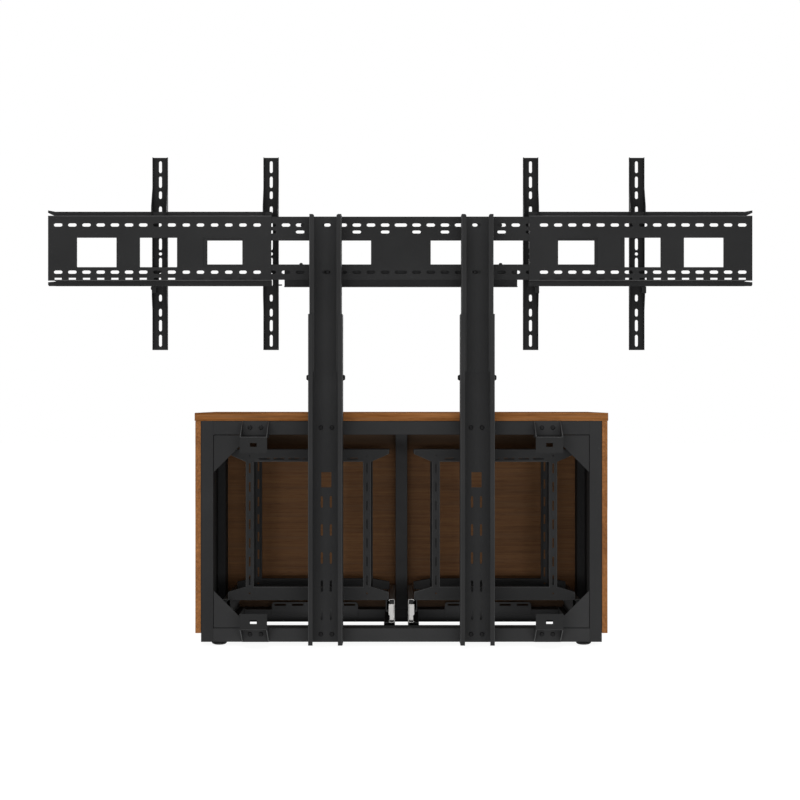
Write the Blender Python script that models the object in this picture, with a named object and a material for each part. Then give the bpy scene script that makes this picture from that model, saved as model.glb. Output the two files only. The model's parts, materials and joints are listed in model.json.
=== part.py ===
# AV credenza: a two-bay steel-framed cabinet with wood panels, a pull-out rack in each bay,
# and a telescopic mast on the back that carries a wide rail for two displays.
# Metres, +Z up. The front is -Y. Left is +X, as seen from behind.

import math

import bmesh
import bpy
from mathutils import Matrix, Vector

for old in list(bpy.data.objects):
    bpy.data.objects.remove(old, do_unlink=True)

# Fits
GAP = 0.0003  # between faces that touch
RUN_FIT = 0.0005  # between faces that slide
CUT_OVER = 0.004  # how far a cutter runs past the wall that it cuts
SHEET = 0.0025  # formed sheet of brackets, plates and arms
ROUND_SIDES = 12
SLOT_END_STEPS = 3

# Cabinet panels
CABINET_WIDTH = 1.220  # over the side panels
TOP_SIDE_OVERHANG = 0.002
TOP_DEPTH = 0.686
TOP_LAP = 0.0055  # past the doors' faces
TOP_THICK = 0.0240
SIDE_THICK = 0.0165
PANEL_BOTTOM = 0.0385  # lower edge of the sides and doors
DOOR_THICK = 0.019
DOOR_GAP = 0.0015  # behind the doors, and half the gap between them
PIVOT_INSET = 0.005  # pivot axis behind the door's front face and inside its outer edge
PIVOT_RADIUS = 0.0025
PIVOT_PIN = 0.012
PIVOT_PLATE = 0.002
PIVOT_LENGTH = 0.040

# Steel frame
FRAME_BOTTOM = 0.0126
FRAME_HEIGHT = 0.6535
TUBE_DEPTH = 0.092
TUBE_WALL = 0.002
RAIL_HEIGHT = 0.0405
REAR_UPRIGHT = 0.036
FRONT_UPRIGHT = 0.0255
CENTRE_UPRIGHT = 0.038
RUNNER_WIDTH = 0.032
RUNNER_HEIGHT = 0.048
GUSSET_LEG = 0.112
GUSSET_SETBACK = 0.001

# Levelling feet
FOOT_INSET = 0.0505  # foot axis from the frame's side
FOOT_RADIUS = 0.0222
FOOT_PAD = 0.0085
FOOT_ROUND = 0.006  # lower edge
STUD_RADIUS = 0.005
STUD_LENGTH = 0.024

# Stand-off brackets for a rear panel
STANDOFF = 0.096  # from the frame's rear face to the brackets' rear faces
BRACKET_WIDTH = 0.080
BRACKET_INSET = 0.1617  # bracket's middle inside the frame's side
BRACKET_FACE = 0.0465  # height of the slotted plate
BRACKET_DROP = 0.005  # slotted plate's near edge past the rail's inner edge
BRACKET_SLOT = (0.0196, 0.0112)

# Mast
POST_INSET = 0.3711  # post's middle inside the frame's side
POST_WIDTH = 0.100
POST_DEPTH = STANDOFF
POST_WALL = 0.003
POST_LIP = 0.0132
POST_TOP = 0.979
INNER_LIP = 0.0140
INNER_LAP = 0.168  # how far an inner post reaches down in its outer post
INNER_TOP_DROP = 0.0028  # inner post's top below the rail's web
CLAMP_DROP = 0.185  # clamp screws below the outer post's top
CLAMP_RADIUS = 0.007
CLAMP_TIP = 0.0035  # radius of the head's end
CLAMP_OUT = 0.006
POST_WINDOW = (0.030, 0.045)
POST_WINDOW_Z = 0.4925
POST_SLOT = (0.0065, 0.035)
POST_SLOT_SPREAD = 0.0266
POST_SLOT_LOW = 0.095
POST_SLOT_PITCH = 0.083
POST_SLOT_PAIRS = 5

# Display rail
RAIL_WEB_TOP = 1.2734
RAIL_WEB_HEIGHT = 0.1925
RAIL_LIP = 0.0145
RAIL_LIP_DEPTH = 0.033
END_PLATE_OUT = 1.041  # web's outer end
END_PLATE_LENGTH = 0.660
EAR = 0.018  # stop ear's root inside the web's outer end
EAR_OUT = 0.0055  # ear's tip past the web's outer end
EAR_RISE = 0.0110  # how far the upper ear turns up
EAR_TIP = 0.0075
CENTRE_PLATE_LENGTH = 1.324
SLOT = (0.0260, 0.0097)
SLOT_PITCH = 0.0419
SLOT_COUNT = 15
SLOT_TOP_DROP = 0.0277  # upper row below the web's top edge
SLOT_LOW_RISE = 0.0254  # lower row above the web's bottom edge
END_SLOT_START = 0.0299  # first slot from the outer end
THIN_SLOT = (0.0212, 0.0056)
THIN_SLOT_RISE = 0.0058
CENTRE_SLOT = (0.0372, 0.0097)
CENTRE_SLOT_START = 0.0465
SECOND_SLOT = (0.0260, 0.0088)
SECOND_ROW_DROP = 0.0205  # below the upper row
SECOND_ROW_COUNT = 5
END_WINDOW = (0.1165, 0.0868)
END_WINDOW_START = 0.144
END_WINDOW_PITCH = 0.186
END_WINDOW_COUNT = 3
CENTRE_WINDOW = (0.118, 0.0704)
CENTRE_WINDOWS_X = (0.1473, 0.3302, 0.5131)
WINDOW_RISE = 0.0127  # window centre below the web's middle
CROSS_BAR_LENGTH = 0.691
CROSS_BAR_BOTTOM = 1.063
CROSS_BAR_HEIGHT = 0.065
CROSS_BAR_DEPTH = 0.022

# Display arms
ARMS_X = (0.7195, 0.3887, -0.3853, -0.7016)
ARM_WIDTH = 0.0456
ARM_LENGTH = 0.574
ARM_CENTRE_Z = 1.1645
ARM_CATCH = 0.027  # flange depth at the lower lip
ARM_NOSE = 0.0145  # hook behind the upper lip
ARM_END_FLANGE = 0.011
ARM_MID_FLANGE = 0.017
ARM_SHOULDER = 0.028  # height of the full-depth hook over the lip
ARM_TAPER = 0.072
ARM_HOLE_RADIUS = 0.0047
ARM_SLOT_WIDTH = 0.0088
ARM_SLOT_SHARES = (  # distance from the middle and length, as shares of half the arm
    (0.101, 0.124),
    (0.267, 0.141),
    (0.459, 0.073),
    (0.611, 0.082),
    (0.746, 0.120),
    (0.903, 0.125),
)

# Racks
RACK_SIDE_CLEAR = 0.055  # outer slide inside the frame's side
RACK_MIDDLE_CLEAR = 0.0016  # inner slide past the centre upright
RACK_RISE = 0.0671  # rack's underside above the slides' underside
RACK_TOP_CLEAR = 0.0456  # under the top rails
FRONT_PORTAL_DROP = 0.006  # front portal's bars below the rear one's
PORTAL_DEPTH = 0.025
PORTAL_WALL = 0.002
REAR_PORTAL_SETBACK = 0.089  # from the frame's rear face
FRONT_PORTAL_SETBACK = 0.211  # from the frame's front face
EAR_REACH = 0.0653  # ear's end outside the upright's middle
UPRIGHT_WIDTH = 0.024
TOP_BAR = 0.037
TOP_EAR = 0.014
BOTTOM_BAR = 0.040
BOTTOM_EAR = 0.024
BAR_SLOT = (0.033, 0.0054)
BAR_SLOT_COUNT = 7
BAR_SLOT_RISE = 0.009
UPRIGHT_SLOT = (0.005, 0.030)
UPRIGHT_SLOT_MARGIN = 0.0045  # from the bars to the end slots
UPRIGHT_SLOT_COUNT = 7
PORTAL_HOLE = 0.003  # radius, in the bars at each upright

# Rack slides
SLIDE_HEIGHT = 0.070
SLIDE_WIDTH = 0.017
SLIDE_WALL = 0.002
SLIDE_LIP = 0.006
SLIDE_FRONT_CLEAR = 0.065  # front end behind the frame's front face
SLIDE_SETBACK = 0.085
SLIDE_STOP = 0.004
SLIDE_STOP_HEIGHT = 0.048
SLIDE_STOP_DROP = 0.0035  # stop's middle below the slide's
MOVING_SHORT = 0.040  # moving bar's length less than the slide's
MOVING_NECK = 0.006
MOVING_FLANGE = 0.003
RISER_INSET = 0.006  # riser face inside the rack's ear end

# Lacing bars
LACING_WIDTH = 0.279
LACING_RISE = 0.0234  # above the rail that it is fixed to
LACING_LAP = 0.020
LACING_SLOT = (0.036, 0.0062)
LACING_SLOT_DROP = 0.0085
LACING_SLOT_COUNT = 5
LACING_CHAMFER = 0.006

# Places worked out from those
FRAME_DEPTH = TOP_DEPTH - TOP_LAP - DOOR_THICK - DOOR_GAP
REAR_Y = (TOP_DEPTH - STANDOFF) / 2
FRONT_Y = REAR_Y - FRAME_DEPTH
FRAME_TOP = FRAME_BOTTOM + FRAME_HEIGHT
FRAME_HALF = CABINET_WIDTH / 2 - SIDE_THICK - GAP
TOP_Z = FRAME_TOP + GAP + TOP_THICK
DOOR_BACK = FRONT_Y - DOOR_GAP
DOOR_FACE = DOOR_BACK - DOOR_THICK
DOOR_TOP = FRAME_TOP - PIVOT_PLATE - GAP
PIVOT_X = CABINET_WIDTH / 2 - PIVOT_INSET
PIVOT_Y = DOOR_FACE + PIVOT_INSET
REAR_INSIDE = FRAME_HALF - REAR_UPRIGHT - GAP
FRONT_INSIDE = FRAME_HALF - FRONT_UPRIGHT - GAP
LOW_RAIL_TOP = FRAME_BOTTOM + RAIL_HEIGHT
HIGH_RAIL_BOTTOM = FRAME_TOP - RAIL_HEIGHT
POST_X = FRAME_HALF - POST_INSET
BRACKET_X = FRAME_HALF - BRACKET_INSET
POST_FRONT = REAR_Y + GAP
INNER_FRONT = POST_FRONT + POST_WALL + RUN_FIT
INNER_WIDTH = POST_WIDTH - 2 * (POST_WALL + RUN_FIT)
INNER_DEPTH = POST_DEPTH - GAP - 2 * (POST_WALL + RUN_FIT)
INNER_BOTTOM = POST_TOP - INNER_LAP
INNER_TOP = RAIL_WEB_TOP - INNER_TOP_DROP
CENTRE_BACK = INNER_FRONT - GAP
CENTRE_FRONT = CENTRE_BACK - SHEET
END_FRONT = CENTRE_BACK + GAP
END_BACK = END_FRONT + SHEET
RAIL_WEB_BOTTOM = RAIL_WEB_TOP - RAIL_WEB_HEIGHT
LIP_FRONT = END_FRONT - RAIL_LIP_DEPTH
LIP_BACK = LIP_FRONT + SHEET
ARM_BACK = LIP_FRONT - GAP - ARM_CATCH
ARM_FRONT = ARM_BACK - SHEET
SLOT_TOP_Z = RAIL_WEB_TOP - SLOT_TOP_DROP
SLOT_LOW_Z = RAIL_WEB_BOTTOM + SLOT_LOW_RISE
THIN_ROW_Z = RAIL_WEB_BOTTOM + THIN_SLOT_RISE
WINDOW_Z = (RAIL_WEB_TOP + RAIL_WEB_BOTTOM) / 2 - WINDOW_RISE
SLIDE_BOTTOM = FRAME_BOTTOM + RUNNER_HEIGHT + GAP
SLIDE_BACK = REAR_Y - SLIDE_SETBACK
SLIDE_LENGTH = FRAME_DEPTH - SLIDE_SETBACK - SLIDE_FRONT_CLEAR
MOVING_LENGTH = SLIDE_LENGTH - MOVING_SHORT
PORTAL_SPACING = FRAME_DEPTH - REAR_PORTAL_SETBACK - FRONT_PORTAL_SETBACK
SLIDE_INNER_X = CENTRE_UPRIGHT / 2 + RACK_MIDDLE_CLEAR
SLIDE_OUTER_X = FRAME_HALF - RACK_SIDE_CLEAR
BAY_X = (SLIDE_INNER_X + SLIDE_OUTER_X) / 2
SLIDE_OUT = (SLIDE_OUTER_X - SLIDE_INNER_X) / 2  # slide's far face from the bay's centre
RACK_WIDTH = 2 * (SLIDE_OUT - SLIDE_WIDTH - RUN_FIT)
RACK_BOTTOM = SLIDE_BOTTOM + RACK_RISE
RACK_TOP = HIGH_RAIL_BOTTOM - RACK_TOP_CLEAR
UPRIGHT_SPACING = RACK_WIDTH - 2 * EAR_REACH
BAR_SLOT_PITCH = UPRIGHT_SPACING / (BAR_SLOT_COUNT + 1)
LACING_TOP = LOW_RAIL_TOP + LACING_RISE
LACING_SLOT_PITCH = LACING_WIDTH / LACING_SLOT_COUNT


# Materials

def material(name, colour, roughness, metallic):
    made = bpy.data.materials.new(name)
    made.use_nodes = True
    shader = made.node_tree.nodes["Principled BSDF"]
    shader.inputs["Base Color"].default_value = (*colour, 1)
    shader.inputs["Roughness"].default_value = roughness
    shader.inputs["Metallic"].default_value = metallic
    return made


STEEL = material("black_powder_coat", (0.03, 0.03, 0.031), 0.55, 0.0)
WOOD = material("brown_wood_laminate", (0.24, 0.095, 0.03), 0.45, 0.0)
ZINC = material("zinc_plate", (0.6, 0.6, 0.61), 0.35, 0.9)
BOLT = material("black_oxide", (0.02, 0.02, 0.021), 0.4, 0.6)
RUBBER = material("black_foot", (0.025, 0.025, 0.025), 0.7, 0.0)


# Outlines, as lists of points in the plane across an extrusion

def rect(a0, b0, a1, b1):
    return [(a0, b0), (a1, b0), (a1, b1), (a0, b1)]


def centred_rect(a, b, size):
    return rect(a - size[0] / 2, b - size[1] / 2, a + size[0] / 2, b + size[1] / 2)


def slot(a, b, size):
    """A slot with round ends, along its longer side."""
    length, width = max(size), min(size)
    reach = (length - width) / 2
    points = []
    for end in (1, -1):
        for step in range(SLOT_END_STEPS + 1):
            turn = math.pi * (step / SLOT_END_STEPS - 0.5)
            along = end * (reach + width / 2 * math.cos(turn))
            across = end * width / 2 * math.sin(turn)
            points.append((along, across) if size[0] > size[1] else (-across, along))
    return [(a + u, b + v) for u, v in points]


def circle(a, b, radius, sides=ROUND_SIDES):
    turns = [2 * math.pi * (step + 0.5) / sides for step in range(sides)]
    return [(a + radius * math.cos(turn), b + radius * math.sin(turn)) for turn in turns]


def lipped_channel(centre, front, width, depth, wall, lip):
    """A channel whose web faces -Y, with two lips that face each other at +Y."""
    half = width / 2
    right = [
        (half, 0),
        (half, depth),
        (half - lip, depth),
        (half - lip, depth - wall),
        (half - wall, depth - wall),
        (half - wall, wall),
    ]
    left = [(-a, b) for a, b in reversed(right)]
    return [(centre + a, front + b) for a, b in right + left]


# Solids

PLACE = {
    "X": lambda a, b, along: (along, a, b),
    "Y": lambda a, b, along: (a, along, b),
    "Z": lambda a, b, along: (a, b, along),
}


def add_prism(bm, axis, outline, start, end):
    """Extrudes an outline along an axis, as a closed body."""
    low = [bm.verts.new(PLACE[axis](a, b, start)) for a, b in outline]
    high = [bm.verts.new(PLACE[axis](a, b, end)) for a, b in outline]
    faces = [bm.faces.new(low), bm.faces.new(high)]
    for i in range(len(outline)):
        j = (i + 1) % len(outline)
        faces.append(bm.faces.new((low[i], low[j], high[j], high[i])))
    bmesh.ops.recalc_face_normals(bm, faces=faces)


def add_turned(bm, axis, centre, profile):
    """Turns a profile of (radius, height) points round an axis, as a closed body."""
    rings = []
    for radius, height in profile:
        ring = [bm.verts.new(PLACE[axis](a, b, height)) for a, b in circle(*centre, radius)]
        rings.append(ring)
    faces = [bm.faces.new(rings[0]), bm.faces.new(rings[-1])]
    for low, high in zip(rings, rings[1:]):
        for i in range(ROUND_SIDES):
            j = (i + 1) % ROUND_SIDES
            faces.append(bm.faces.new((low[i], low[j], high[j], high[i])))
    bmesh.ops.recalc_face_normals(bm, faces=faces)


def mesh_object(name, shapes):
    """An object made of shapes, each a function with its arguments."""
    bm = bmesh.new()
    for shape in shapes:
        shape[0](bm, *shape[1:])
    mesh = bpy.data.meshes.new(name)
    bm.to_mesh(mesh)
    bm.free()
    made = bpy.data.objects.new(name, mesh)
    bpy.context.scene.collection.objects.link(made)
    return made


def prism(axis, outline, start, end):
    return (add_prism, axis, outline, start, end)


def turned(axis, centre, profile):
    return (add_turned, axis, centre, profile)


def boolean(piece, shapes, operation, number):
    """Joins shapes to a piece or cuts them from it, through a hidden helper that follows it."""
    helper = mesh_object(f"{piece.name}_{operation.lower()}_{number}", shapes)
    helper.hide_render = True
    helper.display_type = "WIRE"
    helper.parent = piece
    modifier = piece.modifiers.new(helper.name, "BOOLEAN")
    modifier.operation = operation
    modifier.solver = "EXACT"
    modifier.object = helper


def piece(name, look, body, joins=(), cuts=(), carrier=None):
    """One sub-part: a body, shapes joined to it, and groups of shapes cut from it."""
    made = mesh_object(name, [body])
    made.data.materials.append(look)
    for number, shape in enumerate(joins):
        boolean(made, [shape], "UNION", number)
    for number, group in enumerate(cuts):
        boolean(made, group, "DIFFERENCE", number)
    made.data.shade_smooth()
    made.data.set_sharp_from_angle(angle=math.radians(35))
    if carrier:
        made.parent = carrier
        made.matrix_parent_inverse = Matrix.Translation(-carrier.location)
    return made


def carriage(name, place):
    """An empty on a joint's axis, which carries the pieces that move on it."""
    made = bpy.data.objects.new(name, None)
    made.location = Vector(place)
    bpy.context.scene.collection.objects.link(made)
    return made


def cut_y(outlines, low, high):
    return [prism("Y", outline, low - CUT_OVER, high + CUT_OVER) for outline in outlines]


# Cabinet panels

def make_panels():
    half_top = CABINET_WIDTH / 2 + TOP_SIDE_OVERHANG
    outline = rect(-half_top, REAR_Y - TOP_DEPTH, half_top, REAR_Y)
    piece("top_panel", WOOD, prism("Z", outline, FRAME_TOP + GAP, TOP_Z))
    for side, sign in (("left", 1), ("right", -1)):
        outline = rect(FRONT_Y, PANEL_BOTTOM, REAR_Y, FRAME_TOP)
        inside = sign * (FRAME_HALF + GAP)
        outside = sign * CABINET_WIDTH / 2
        piece(f"side_panel_{side}", WOOD, prism("X", outline, inside, outside))


def make_doors():
    bore = PIVOT_RADIUS + GAP
    for side, sign in (("left", 1), ("right", -1)):
        hinge = carriage(f"door_hinge_{side}", (sign * PIVOT_X, PIVOT_Y, PANEL_BOTTOM))
        outline = rect(sign * DOOR_GAP, DOOR_FACE, sign * CABINET_WIDTH / 2, DOOR_BACK)
        bores = []
        for edge, inward in ((PANEL_BOTTOM, 1), (DOOR_TOP, -1)):
            mouth = edge - inward * CUT_OVER
            end = edge + inward * (PIVOT_PIN + GAP)
            round_bore = circle(sign * PIVOT_X, PIVOT_Y, bore)
            bores.append(prism("Z", round_bore, mouth, end))
        body = prism("Z", outline, PANEL_BOTTOM, DOOR_TOP)
        piece(f"door_{side}", WOOD, body, cuts=[bores], carrier=hinge)


def make_pivots():
    """A bracket under each door and a plate over it, each with a pin in the door's edge."""
    seat = FRONT_Y - GAP
    for side, sign in (("left", 1), ("right", -1)):
        outer = sign * (CABINET_WIDTH / 2 - GAP)
        inner = outer - sign * PIVOT_LENGTH
        top = PANEL_BOTTOM - GAP
        angle = [
            (seat, FRAME_BOTTOM + PIVOT_PLATE),
            (seat, top),
            (DOOR_FACE, top),
            (DOOR_FACE, top - PIVOT_PLATE),
            (seat - PIVOT_PLATE, top - PIVOT_PLATE),
            (seat - PIVOT_PLATE, FRAME_BOTTOM + PIVOT_PLATE),
        ]
        pin = circle(sign * PIVOT_X, PIVOT_Y, PIVOT_RADIUS)
        low_pin = prism("Z", pin, top - PIVOT_PLATE / 2, PANEL_BOTTOM + PIVOT_PIN)
        piece(f"door_pivot_low_{side}", BOLT, prism("X", angle, inner, outer), joins=[low_pin])
        plate = rect(inner, DOOR_FACE, outer, seat)
        high_pin = prism("Z", pin, DOOR_TOP - PIVOT_PIN, FRAME_TOP - PIVOT_PLATE / 2)
        body = prism("Z", plate, FRAME_TOP - PIVOT_PLATE, FRAME_TOP)
        piece(f"door_pivot_high_{side}", BOLT, body, joins=[high_pin])


# Steel frame

def tube(name, axis, low, high, start, end, holes=()):
    """A box tube along an axis, open at its ends."""
    wall = TUBE_WALL
    outside = rect(*low, *high)
    inside = rect(low[0] + wall, low[1] + wall, high[0] - wall, high[1] - wall)
    bore = prism(axis, inside, start - CUT_OVER, end + CUT_OVER)
    cuts = [[bore]]
    if holes:
        cuts.append(list(holes))
    return piece(name, STEEL, prism(axis, outside, start, end), cuts=cuts)


def foot_places():
    foot_x = FRAME_HALF - FOOT_INSET
    for row, y in (("rear", REAR_Y - TUBE_DEPTH / 2), ("front", FRONT_Y + TUBE_DEPTH / 2)):
        for side, sign in (("left", 1), ("right", -1)):
            yield row, side, (sign * foot_x, y)


def make_frame():
    rear_in = REAR_Y - TUBE_DEPTH
    front_in = FRONT_Y + TUBE_DEPTH
    rows = (
        ("rear", REAR_UPRIGHT, REAR_INSIDE, rear_in, REAR_Y),
        ("front", FRONT_UPRIGHT, FRONT_INSIDE, FRONT_Y, front_in),
    )
    for row, width, inside, low_y, high_y in rows:
        for side, sign in (("left", 1), ("right", -1)):
            ends = sorted((sign * (FRAME_HALF - width), sign * FRAME_HALF))
            low, high = (ends[0], low_y), (ends[1], high_y)
            tube(f"{row}_upright_{side}", "Z", low, high, FRAME_BOTTOM, FRAME_TOP)
        holes = [
            prism("Z", circle(*place, STUD_RADIUS + GAP), 0, FRAME_BOTTOM + TUBE_WALL + CUT_OVER)
            for foot_row, side, place in foot_places()
            if foot_row == row
        ]
        low, high = (low_y, FRAME_BOTTOM), (high_y, LOW_RAIL_TOP)
        tube(f"{row}_bottom_rail", "X", low, high, -inside, inside, holes)
        low, high = (low_y, HIGH_RAIL_BOTTOM), (high_y, FRAME_TOP)
        tube(f"{row}_top_rail", "X", low, high, -inside, inside)
    low, high = (-CENTRE_UPRIGHT / 2, FRONT_Y), (CENTRE_UPRIGHT / 2, front_in)
    tube("front_centre_upright", "Z", low, high, LOW_RAIL_TOP + GAP, HIGH_RAIL_BOTTOM - GAP)


def make_runners():
    """Depth rails that carry the slides, one under each end of each rack."""
    for bay, sign in (("left", 1), ("right", -1)):
        for place, way in (("outer", sign), ("inner", -sign)):
            middle = sign * BAY_X + way * (SLIDE_OUT - RUNNER_WIDTH / 2)
            low = (middle - RUNNER_WIDTH / 2, FRAME_BOTTOM)
            high = (middle + RUNNER_WIDTH / 2, FRAME_BOTTOM + RUNNER_HEIGHT)
            start = FRONT_Y + TUBE_DEPTH + GAP
            end = REAR_Y - TUBE_DEPTH - GAP
            tube(f"runner_rail_{bay}_{place}", "Y", low, high, start, end)


def make_gussets():
    back = REAR_Y - GUSSET_SETBACK
    for level, z, up in (("top", HIGH_RAIL_BOTTOM - GAP, -1), ("bottom", LOW_RAIL_TOP + GAP, 1)):
        for side, sign in (("left", 1), ("right", -1)):
            x = sign * REAR_INSIDE
            outline = [(x, z), (x - sign * GUSSET_LEG, z), (x, z + up * GUSSET_LEG)]
            piece(f"gusset_{level}_{side}", STEEL, prism("Y", outline, back - SHEET, back))


def make_feet():
    for row, side, place in foot_places():
        screw = carriage(f"foot_screw_{row}_{side}", (*place, 0))
        profile = [
            (FOOT_RADIUS - FOOT_ROUND, 0),
            (FOOT_RADIUS - FOOT_ROUND * 0.3, FOOT_ROUND * 0.3),
            (FOOT_RADIUS, FOOT_ROUND),
            (FOOT_RADIUS, FOOT_PAD),
            (STUD_RADIUS, FOOT_PAD),
            (STUD_RADIUS, FRAME_BOTTOM + STUD_LENGTH),
        ]
        piece(f"foot_{row}_{side}", RUBBER, turned("Z", place, profile), carrier=screw)


# Stand-off brackets

def make_brackets():
    """Bent from sheet: a base on the rail, a shelf out from it, and a slotted plate past its edge."""
    seat = REAR_Y + GAP
    back = REAR_Y + STANDOFF
    rows = (
        ("top", FRAME_TOP, HIGH_RAIL_BOTTOM, -1),
        ("bottom", FRAME_BOTTOM, LOW_RAIL_TOP, 1),
    )
    for level, outer, inner, way in rows:
        shelf = inner + way * BRACKET_DROP
        far = shelf + way * BRACKET_FACE
        profile = [
            (seat, outer),
            (seat + SHEET, outer),
            (seat + SHEET, shelf),
            (back, shelf),
            (back, far),
            (back - SHEET, far),
            (back - SHEET, shelf + way * SHEET),
            (seat, shelf + way * SHEET),
        ]
        cheek = [
            (seat + SHEET / 2, outer),
            (seat + SHEET, outer),
            (back, shelf),
            (back - SHEET / 2, shelf + way * SHEET / 2),
            (seat + SHEET / 2, shelf + way * SHEET / 2),
        ]
        for side, sign in (("left", 1), ("right", -1)):
            low = sign * BRACKET_X - BRACKET_WIDTH / 2
            high = low + BRACKET_WIDTH
            cheeks = [
                prism("X", cheek, low + GAP, low + SHEET),
                prism("X", cheek, high - SHEET, high - GAP),
            ]
            hole = centred_rect(sign * BRACKET_X, (shelf + far) / 2, BRACKET_SLOT)
            cut = cut_y([hole], back - SHEET, back)
            body = prism("X", profile, low, high)
            piece(f"standoff_bracket_{level}_{side}", STEEL, body, joins=cheeks, cuts=[cut])


# Mast

def make_posts(mast):
    for side, sign in (("left", 1), ("right", -1)):
        x = sign * POST_X
        outline = lipped_channel(x, POST_FRONT, POST_WIDTH, POST_DEPTH - GAP, POST_WALL, POST_LIP)
        holes = [centred_rect(x, POST_WINDOW_Z, POST_WINDOW)]
        for pair in range(POST_SLOT_PAIRS):
            z = POST_SLOT_LOW + pair * POST_SLOT_PITCH
            for way in (-1, 1):
                holes.append(slot(x + way * POST_SLOT_SPREAD / 2, z, POST_SLOT))
        openings = cut_y(holes, POST_FRONT, POST_FRONT + POST_WALL)
        screw_place = (POST_FRONT + POST_DEPTH / 2, POST_TOP - CLAMP_DROP)
        screws = []
        for way in (-1, 1):
            face = x + way * POST_WIDTH / 2
            profile = [
                (CLAMP_RADIUS, face - way * POST_WALL / 2),
                (CLAMP_RADIUS, face + way * CLAMP_OUT / 3),
                (CLAMP_TIP, face + way * CLAMP_OUT),
            ]
            screws.append(turned("X", screw_place, profile))
        body = prism("Z", outline, FRAME_BOTTOM, POST_TOP)
        piece(f"outer_post_{side}", STEEL, body, joins=screws, cuts=[openings])
        inner = lipped_channel(x, INNER_FRONT, INNER_WIDTH, INNER_DEPTH, POST_WALL, INNER_LIP)
        body = prism("Z", inner, INNER_BOTTOM, INNER_TOP)
        holes = [slot(x, z, SLOT) for z in (SLOT_TOP_Z, SLOT_LOW_Z)]
        openings = cut_y(holes, INNER_FRONT, INNER_FRONT + POST_WALL)
        piece(f"inner_post_{side}", STEEL, body, cuts=[openings], carrier=mast)


def slot_row(start, step, z, size, count, shape=slot):
    return [shape(start + step * i, z, size) for i in range(count)]


def make_centre_plate(mast):
    half = CENTRE_PLATE_LENGTH / 2
    top = RAIL_WEB_TOP - SHEET - GAP
    bottom = RAIL_WEB_BOTTOM + SHEET + GAP
    holes = []
    for z in (SLOT_TOP_Z, SLOT_LOW_Z):
        holes.append(slot(0, z, CENTRE_SLOT))
    for sign in (1, -1):
        start = sign * CENTRE_SLOT_START
        step = sign * SLOT_PITCH
        for z in (SLOT_TOP_Z, SLOT_LOW_Z):
            holes += slot_row(start, step, z, SLOT, SLOT_COUNT)
        second_z = SLOT_TOP_Z - SECOND_ROW_DROP
        holes += slot_row(start, 2 * step, second_z, SECOND_SLOT, SECOND_ROW_COUNT)
        holes += [centred_rect(sign * x, WINDOW_Z, CENTRE_WINDOW) for x in CENTRE_WINDOWS_X]
    cut = cut_y(holes, CENTRE_FRONT, CENTRE_BACK)
    body = prism("Y", rect(-half, bottom, half, top), CENTRE_FRONT, CENTRE_BACK)
    piece("rail_centre_plate", STEEL, body, cuts=[cut], carrier=mast)


def make_end_plates(mast):
    """Plates with stepped lips, nested round the centre plate; the arms hang on the lips."""
    top, bottom = RAIL_WEB_TOP, RAIL_WEB_BOTTOM
    profile = [
        (END_BACK, bottom),
        (END_BACK, top),
        (LIP_BACK, top),
        (LIP_BACK, top + RAIL_LIP),
        (LIP_FRONT, top + RAIL_LIP),
        (LIP_FRONT, top - SHEET),
        (END_FRONT, top - SHEET),
        (END_FRONT, bottom + SHEET),
        (LIP_FRONT, bottom + SHEET),
        (LIP_FRONT, bottom - RAIL_LIP),
        (LIP_BACK, bottom - RAIL_LIP),
        (LIP_BACK, bottom),
    ]
    for side, sign in (("left", 1), ("right", -1)):
        outer = sign * END_PLATE_OUT
        inner = outer - sign * END_PLATE_LENGTH
        start = outer - sign * END_SLOT_START
        step = -sign * SLOT_PITCH
        holes = slot_row(start, step, SLOT_TOP_Z, SLOT, SLOT_COUNT)
        holes += slot_row(start, step, SLOT_LOW_Z, SLOT, SLOT_COUNT)
        holes += slot_row(start, step, THIN_ROW_Z, THIN_SLOT, SLOT_COUNT, centred_rect)
        for i in range(END_WINDOW_COUNT):
            x = outer - sign * (END_WINDOW_START + i * END_WINDOW_PITCH)
            holes.append(centred_rect(x, WINDOW_Z, END_WINDOW))
        cut = cut_y(holes, END_FRONT, END_BACK)
        lip_end = outer - sign * EAR
        root = lip_end - sign * SHEET
        tip = outer + sign * EAR_OUT
        upper = [
            (root, top),
            (lip_end, top),
            (tip, top + EAR_RISE),
            (tip, top + EAR_RISE + EAR_TIP),
            (lip_end, top + RAIL_LIP - GAP),
            (root, top + RAIL_LIP - GAP),
        ]
        lower = [
            (root, bottom),
            (tip, bottom - SHEET),
            (tip, bottom - SHEET - EAR_TIP),
            (tip - sign * SHEET, bottom - RAIL_LIP + GAP),
            (root, bottom - RAIL_LIP + GAP),
        ]
        web = rect(root, bottom, outer, top)
        joins = [prism("Y", web, END_FRONT, END_BACK)]
        joins += [prism("Y", ear, LIP_FRONT + GAP, LIP_BACK - GAP) for ear in (upper, lower)]
        body = prism("X", profile, inner, lip_end)
        piece(f"rail_end_plate_{side}", STEEL, body, joins, cuts=[cut], carrier=mast)


def make_cross_bar(mast):
    back = CENTRE_FRONT - GAP
    front = back - CROSS_BAR_DEPTH
    low = CROSS_BAR_BOTTOM
    high = low + CROSS_BAR_HEIGHT
    profile = [
        (back, low),
        (back, low + SHEET),
        (front + SHEET, low + SHEET),
        (front + SHEET, high - SHEET),
        (back, high - SHEET),
        (back, high),
        (front, high),
        (front, low),
    ]
    half = CROSS_BAR_LENGTH / 2
    piece("lower_cross_bar", STEEL, prism("X", profile, -half, half), carrier=mast)


# Display arms

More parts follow.
